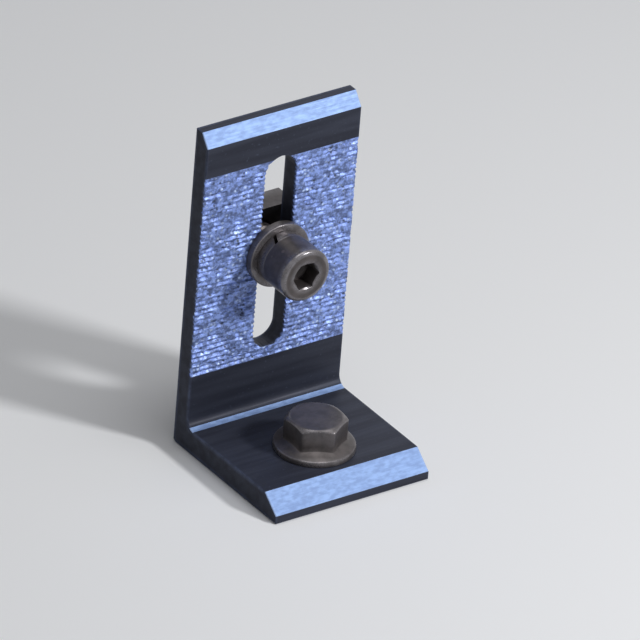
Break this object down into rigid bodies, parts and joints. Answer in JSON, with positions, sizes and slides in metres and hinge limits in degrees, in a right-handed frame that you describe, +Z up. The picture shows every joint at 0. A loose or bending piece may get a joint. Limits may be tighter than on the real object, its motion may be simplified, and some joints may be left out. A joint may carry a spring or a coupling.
{
  "type": "solar l foot bracket",
  "caption": "L-shaped extruded aluminium foot with a serrated, slotted upright, fitted with a rail bolt and nut and a flanged roof screw.",
  "frame": {"origin": "centre of the roof screw's hole, on the underside of the base", "axes": "+Z up along the upright, +Y from the foot's toe towards the rail behind the upright, X along the width of the extrusion"},
  "size_m": [0.042, 0.052, 0.146],
  "materials": {
    "anodised_aluminium": "smooth dark anodised extrusion, bright where the light catches the chamfers",
    "stainless_steel": "dark, satin"
  },
  "bodies": {
    "root": {"l_foot": "anodised_aluminium", "flat_washer": "stainless_steel", "spring_washer": "stainless_steel", "rail_bolt": "stainless_steel", "rail_nut": "stainless_steel", "roof_screw": "stainless_steel"}
  },
  "joints": []
}
